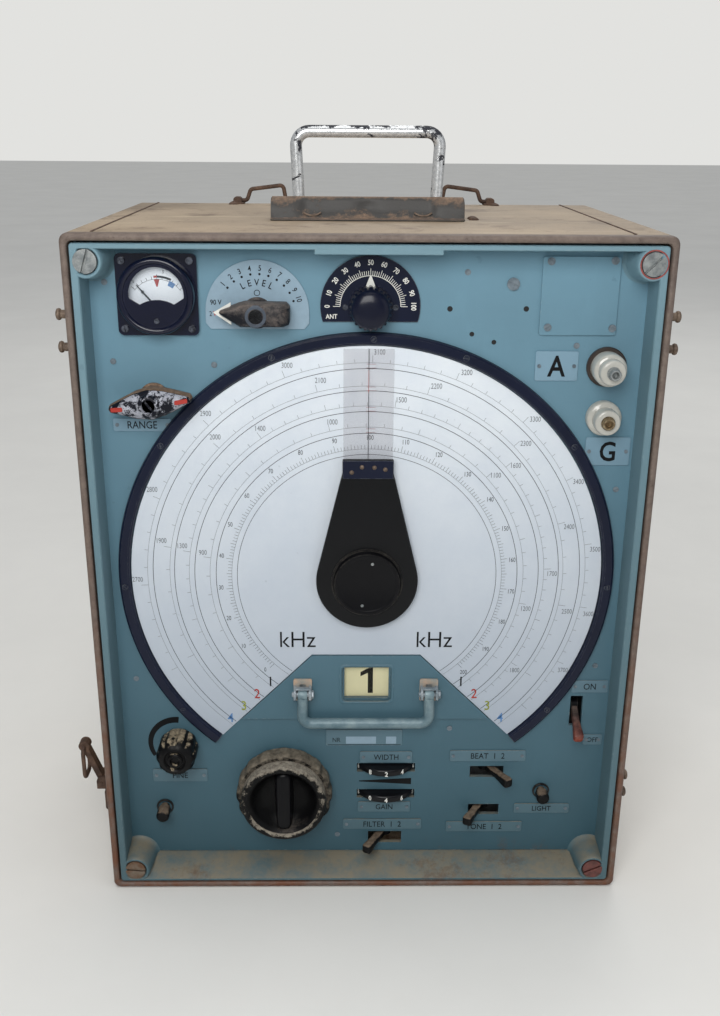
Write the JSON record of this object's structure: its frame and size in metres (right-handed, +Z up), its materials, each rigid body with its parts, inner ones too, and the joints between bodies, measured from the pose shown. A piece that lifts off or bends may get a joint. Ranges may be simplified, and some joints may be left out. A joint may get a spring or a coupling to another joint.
{
  "type": "shortwave receiver",
  "caption": "Portable shortwave receiver in a steel pack case: large round tuning dial with pointer, meter, knobs, thumbwheels, lever switches, terminals and a folding top handle.",
  "frame": {"origin": "centre of the case's bottom face, at the middle of its width and depth", "axes": "+Z up, -Y towards the user (the panel faces -Y), +X to the right as seen from the front"},
  "size_m": [0.3926, 0.261, 0.524],
  "materials": {
    "case_paint": "worn khaki-brown enamel with rust",
    "bracket_paint": "worn enamel, cream and orange where rubbed",
    "worn_steel": "plated steel, plating chipped",
    "rusty_steel": "dull, rusty",
    "panel_paint": "satin blue-grey enamel",
    "screw_steel": "dull plated",
    "black_enamel": "semi-gloss black enamel",
    "black_plastic": "worn black moulding",
    "dial_white": "satin white with fine scale lines",
    "scale_blue": "matt etched plate",
    "clear_plastic": "clear, lightly scratched",
    "clear_glass": "clear glass",
    "cream_plastic": "aged cream",
    "ceramic": "glazed ceramic",
    "red_brown": "red-brown moulding",
    "brass": "dull",
    "aluminium": "plain sheet and castings",
    "transformer_iron": "lacquered laminations",
    "tube_glass": "silvered glass",
    "needle_black": "matt black"
  },
  "bodies": {
    "root": {"antenna_insulator": "ceramic", "antenna_scale_plate": "black_enamel", "antenna_socket": "brass", "bail_bracket_left": "bracket_paint", "bail_bracket_right": "bracket_paint", "band_window": "clear_plastic", "blank_cover_plate": "panel_paint", "capacitor_stator": "aluminium", "captive_screw_1": "screw_steel", "captive_screw_2": "screw_steel", "captive_screw_3": "screw_steel", "captive_screw_4": "screw_steel", "carry_handle_base": "case_paint", "case_shell": "case_paint", "chassis_deck": "aluminium", "chassis_frame": "panel_paint", "chassis_transformer": "transformer_iron", "dial_bezel": "black_enamel", "dial_lower_cover": "panel_paint", "dial_scale": "dial_white", "earth_insulator": "ceramic", "earth_socket": "brass", "front_panel": "panel_paint", "meter_dial": "dial_white", "meter_glass": "clear_glass", "meter_housing": "black_enamel", "radio_tube_1": "tube_glass", "radio_tube_2": "tube_glass", "radio_tube_3": "tube_glass", "selector_scale_plate": "scale_blue"},
    "pointer": {"pointer_shaft": "worn_steel", "pointer_arm": "black_enamel", "pointer_cursor": "clear_plastic", "pointer_hub_cap": "black_plastic", "main_gear": "brass", "capacitor_rotor": "aluminium"},
    "idler": {"idler_gear": "brass"},
    "tuning": {"tuning_knob": "black_plastic", "tuning_pinion": "brass"},
    "range_switch": {"range_knob": "black_plastic", "coil_turret": "aluminium"},
    "band_indicator": {"band_disc": "cream_plastic"},
    "current_selector": {"current_selector_knob": "black_plastic"},
    "antenna_coupling": {"antenna_coupling_knob": "black_plastic"},
    "meter_movement": {"meter_needle": "needle_black"},
    "fine_tune": {"fine_tune_knob": "black_plastic"},
    "bandwidth": {"bandwidth_wheel": "black_plastic"},
    "volume": {"volume_wheel": "black_plastic"},
    "button_left": {"push_button_left": "black_plastic"},
    "button_right": {"push_button_right": "black_plastic"},
    "mode_switch": {"mode_lever": "black_plastic"},
    "tone_switch": {"tone_lever": "black_plastic"},
    "filter_switch": {"filter_lever": "black_plastic"},
    "power_switch": {"power_lever": "red_brown"},
    "bail": {"pull_bail": "panel_paint"},
    "handle": {"carry_handle": "worn_steel"},
    "loop_left": {"strap_loop_left": "rusty_steel"},
    "loop_right": {"strap_loop_right": "rusty_steel"},
    "catch": {"catch_lever": "rusty_steel"},
    "link": {"catch_link": "rusty_steel"}
  },
  "joints": [
    {"name": "pointer_turn", "type": "hinge", "parent": "root", "child": "pointer", "pos_m": [0, -0.106, 0.237], "axis": [0, 1, 0], "range_deg": [-135, 135]},
    {"name": "idler_turn", "type": "hinge", "parent": "root", "child": "idler", "pos_m": [-0.04705, -0.106, 0.13152], "axis": [0, 1, 0], "range_deg": [-224, 224]},
    {"name": "tuning_turn", "type": "hinge", "parent": "root", "child": "tuning", "pos_m": [-0.058, -0.106, 0.071], "axis": [0, 1, 0], "range_deg": [-540, 540]},
    {"name": "range_turn", "type": "hinge", "parent": "root", "child": "range_switch", "pos_m": [-0.1355, -0.106, 0.361], "axis": [0, 1, 0], "range_deg": [0, 135]},
    {"name": "band_turn", "type": "hinge", "parent": "root", "child": "band_indicator", "pos_m": [0.0345, -0.106, 0.1565], "axis": [0, 1, 0], "range_deg": [0, 135]},
    {"name": "selector_turn", "type": "hinge", "parent": "root", "child": "current_selector", "pos_m": [-0.069, -0.106, 0.415], "axis": [0, 1, 0], "range_deg": [0, 150]},
    {"name": "antenna_turn", "type": "hinge", "parent": "root", "child": "antenna_coupling", "pos_m": [0.0006, -0.106, 0.419], "axis": [0, 1, 0], "range_deg": [-90, 90]},
    {"name": "needle_turn", "type": "hinge", "parent": "root", "child": "meter_movement", "pos_m": [-0.1291, -0.106, 0.4177], "axis": [0, 1, 0], "range_deg": [-4, 86]},
    {"name": "fine_turn", "type": "hinge", "parent": "root", "child": "fine_tune", "pos_m": [-0.1325, -0.106, 0.108], "axis": [0, 1, 0], "range_deg": [-135, 135]},
    {"name": "bandwidth_turn", "type": "hinge", "parent": "root", "child": "bandwidth", "pos_m": [0.0152, -0.092, 0.0874], "axis": [0, 0, 1], "range_deg": [-135, 135]},
    {"name": "volume_turn", "type": "hinge", "parent": "root", "child": "volume", "pos_m": [0.0152, -0.092, 0.0654], "axis": [0, 0, 1], "range_deg": [-135, 135]},
    {"name": "button_left_press", "type": "slide", "parent": "root", "child": "button_left", "axis": [0, 1, 0], "range_m": [0, 0.003], "stiffness_N_per_m": 200},
    {"name": "button_right_press", "type": "slide", "parent": "root", "child": "button_right", "axis": [0, 1, 0], "range_m": [0, 0.003], "stiffness_N_per_m": 200},
    {"name": "mode_throw", "type": "hinge", "parent": "root", "child": "mode_switch", "pos_m": [0.0882, -0.096, 0.0838], "axis": [0, 0, 1], "range_deg": [-58, 0]},
    {"name": "tone_throw", "type": "hinge", "parent": "root", "child": "tone_switch", "pos_m": [0.0872, -0.096, 0.0516], "axis": [0, 0, 1], "range_deg": [0, 58]},
    {"name": "filter_throw", "type": "hinge", "parent": "root", "child": "filter_switch", "pos_m": [0.015, -0.096, 0.0276], "axis": [0, 0, 1], "range_deg": [0, 58]},
    {"name": "power_throw", "type": "hinge", "parent": "root", "child": "power_switch", "pos_m": [0.1493, -0.096, 0.134], "axis": [1, 0, 0], "range_deg": [-58, 0]},
    {"name": "bail_swing", "type": "hinge", "parent": "root", "child": "bail", "pos_m": [0, -0.1144, 0.152], "axis": [-1, 0, 0], "range_deg": [0, 100]},
    {"name": "handle_fold", "type": "hinge", "parent": "root", "child": "handle", "pos_m": [0, -0.019, 0.471], "axis": [-1, 0, 0], "range_deg": [0, 85]},
    {"name": "loop_left_swing", "type": "hinge", "parent": "root", "child": "loop_left", "pos_m": [-0.078, 0.121, 0.4666], "axis": [1, 0, 0], "range_deg": [-80, 80]},
    {"name": "loop_right_swing", "type": "hinge", "parent": "root", "child": "loop_right", "pos_m": [0.078, 0.121, 0.4666], "axis": [1, 0, 0], "range_deg": [-80, 80]},
    {"name": "catch_swing", "type": "hinge", "parent": "root", "child": "catch", "pos_m": [-0.1875, -0.112, 0.083], "axis": [0, 1, 0], "range_deg": [-60, 15]},
    {"name": "link_swing", "type": "hinge", "parent": "catch", "child": "link", "pos_m": [-0.1982, -0.112, 0.111], "axis": [0, 1, 0], "range_deg": [-10, 60]}
  ],
  "couplings": [
    {"joint": "idler_turn", "follows": "pointer_turn", "ratio": -1.6552},
    {"joint": "tuning_turn", "follows": "pointer_turn", "ratio": 4},
    {"joint": "band_turn", "follows": "range_turn", "ratio": 1}
  ]
}
